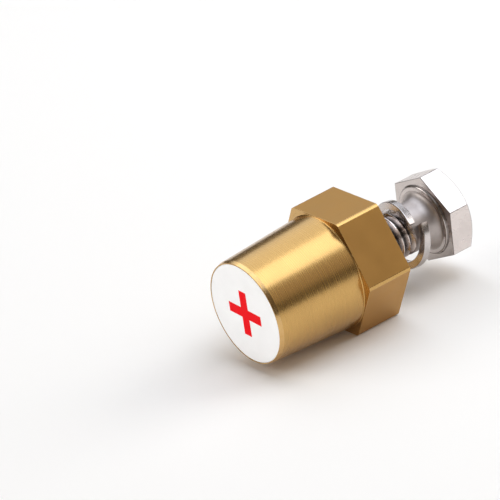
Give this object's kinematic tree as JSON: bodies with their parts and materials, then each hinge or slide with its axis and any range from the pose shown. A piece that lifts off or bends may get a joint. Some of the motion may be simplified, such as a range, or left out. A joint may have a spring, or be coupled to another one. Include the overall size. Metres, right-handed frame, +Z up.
{
  "type": "battery terminal post adapter",
  "caption": "Tapered brass battery post with a hexagon base, a white positive end disc, and a stainless bolt with a split spring washer that clamps a cable lug or battery tab.",
  "frame": {"origin": "centre of the seat face, on the axis of the post", "axes": "+X along the axis from the seat towards the bolt head, +Z up, with the part lying on one flat of its hexagon"},
  "size_m": [0.0417, 0.0228, 0.02],
  "materials": {
    "brass": "fine turned and satin",
    "white_plastic": "smooth matt",
    "stainless_bolt": "bright polished",
    "spring_steel": "bright"
  },
  "bodies": {
    "post": {"brass_post": "brass", "polarity_disc": "white_plastic"},
    "washer": {"spring_washer": "spring_steel"},
    "bolt": {"hex_bolt": "stainless_bolt"}
  },
  "joints": [
    {"name": "bolt_travel", "type": "slide", "parent": "post", "child": "washer", "axis": [1, 0, 0], "range_m": [-0.0054, 0.0051]},
    {"name": "bolt_turn", "type": "hinge", "parent": "washer", "child": "bolt", "pos_m": [0, 0, 0], "axis": [1, 0, 0], "range_deg": [-1530, 1440]}
  ],
  "couplings": [
    {"joint": "bolt_travel", "follows": "bolt_turn", "m_per_rad": 0.00019894}
  ]
}
